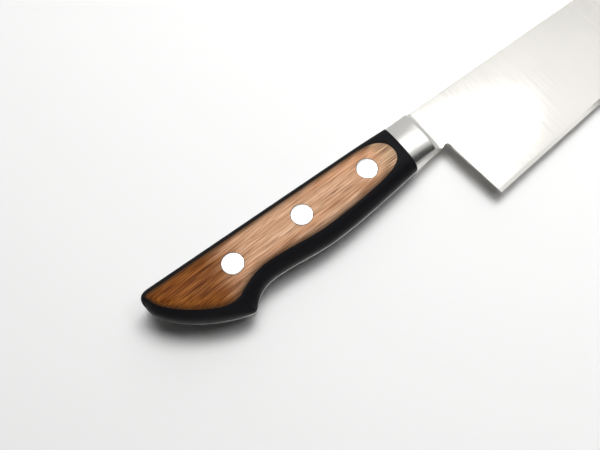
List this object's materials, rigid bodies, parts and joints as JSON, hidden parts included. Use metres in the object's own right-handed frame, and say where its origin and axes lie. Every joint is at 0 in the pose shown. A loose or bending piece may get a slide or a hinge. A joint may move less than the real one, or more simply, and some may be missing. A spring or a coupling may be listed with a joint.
{
  "type": "gyuto knife",
  "caption": "Full-tang chef's knife with a long pointed blade, steel bolster and a riveted handle of layered brown and black wood that ends in a hooked butt.",
  "frame": {"origin": "centre of the bottom of the bounding box, with the knife on its left side and the blade level", "axes": "+X along the spine to the point, +Y from the edge to the spine, +Z out of the right face"},
  "size_m": [0.3402, 0.0468, 0.0164],
  "materials": {
    "blade_steel": "satin, fine lines across the blade",
    "bolster_steel": "satin polished",
    "black_wood": "smooth resin-filled layer, low sheen",
    "brown_wood": "smooth resin-filled grain, low sheen",
    "rivet_steel": "polished, ground flush"
  },
  "bodies": {
    "root": {"blade": "blade_steel", "bolster_right": "bolster_steel", "bolster_left": "bolster_steel", "scale_core_right": "black_wood", "scale_core_left": "black_wood", "scale_face_right": "brown_wood", "scale_face_left": "brown_wood", "rivet_sleeve_front": "rivet_steel", "rivet_pin_front": "rivet_steel", "rivet_sleeve_middle": "rivet_steel", "rivet_pin_middle": "rivet_steel", "rivet_sleeve_rear": "rivet_steel", "rivet_pin_rear": "rivet_steel"}
  },
  "joints": []
}
